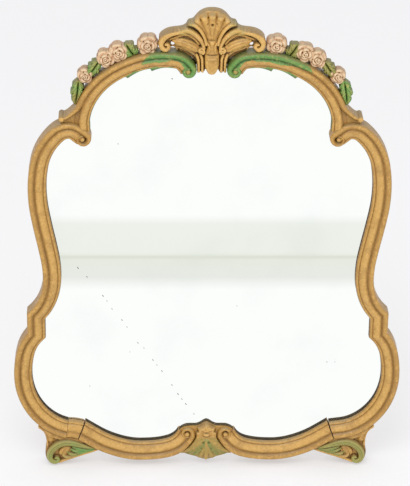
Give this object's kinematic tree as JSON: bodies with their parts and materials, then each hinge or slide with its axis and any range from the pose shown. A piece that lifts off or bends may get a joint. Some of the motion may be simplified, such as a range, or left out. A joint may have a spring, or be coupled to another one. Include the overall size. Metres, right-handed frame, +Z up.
{
  "type": "carved wall mirror",
  "caption": "Wall mirror in a scrolled, lacquered wood frame with a carved shell crest, rose garlands, scroll feet and hanging rings behind.",
  "frame": {"origin": "centre of the glass opening's middle line on the rear face of the back panel, the face that lies on the wall", "axes": "+Z up, +X to the right of someone who looks at the mirror, +Y into the wall, so the mirror faces -Y"},
  "size_m": [0.746, 0.0455, 0.9405],
  "materials": {
    "gold_lacquer": "gold-brown lacquer over gesso, worn on the edges",
    "green_lacquer": "green lacquer, worn to gold on the high spots",
    "rose_lacquer": "cream-pink lacquer, glazed in the hollows",
    "bare_wood": "bare softwood",
    "panel_wood": "plain board, oiled",
    "silvered_glass": "silvered glass with a few age spots",
    "steel": "plain wire steel",
    "brass": "brassed sheet and wire"
  },
  "bodies": {
    "frame": {"left_stile": "gold_lacquer", "right_stile": "gold_lacquer", "left_arch": "gold_lacquer", "right_arch": "gold_lacquer", "bottom_rail": "gold_lacquer", "crest_shell": "gold_lacquer", "joint_wedge": "gold_lacquer", "left_foot": "green_lacquer", "right_foot": "green_lacquer", "bottom_palmette": "green_lacquer", "left_top_rose": "rose_lacquer", "left_pair_rose": "rose_lacquer", "left_low_rose": "rose_lacquer", "left_bud_leaf": "green_lacquer", "left_garland_leaf": "green_lacquer", "left_end_leaf": "green_lacquer", "right_top_rose": "rose_lacquer", "right_pair_rose": "rose_lacquer", "right_low_rose": "rose_lacquer", "right_bud_leaf": "green_lacquer", "right_garland_leaf": "green_lacquer", "right_end_leaf": "green_lacquer", "mirror_plate": "silvered_glass", "back_panel": "panel_wood", "glass_blocks": "bare_wood", "joint_tongues": "bare_wood", "panel_brads": "steel", "hanger_screws": "steel", "left_hanger_plate": "brass", "right_hanger_plate": "brass"},
    "left_ring": {"left_hanger_ring": "brass"},
    "right_ring": {"right_hanger_ring": "brass"}
  },
  "joints": [
    {"name": "left_ring_turn", "type": "hinge", "parent": "frame", "child": "left_ring", "pos_m": [-0.3295, -0.0026, 0.118], "axis": [1, 0, 0], "range_deg": [0, 175]},
    {"name": "right_ring_turn", "type": "hinge", "parent": "frame", "child": "right_ring", "pos_m": [0.3295, -0.0026, 0.118], "axis": [1, 0, 0], "range_deg": [0, 175]}
  ]
}
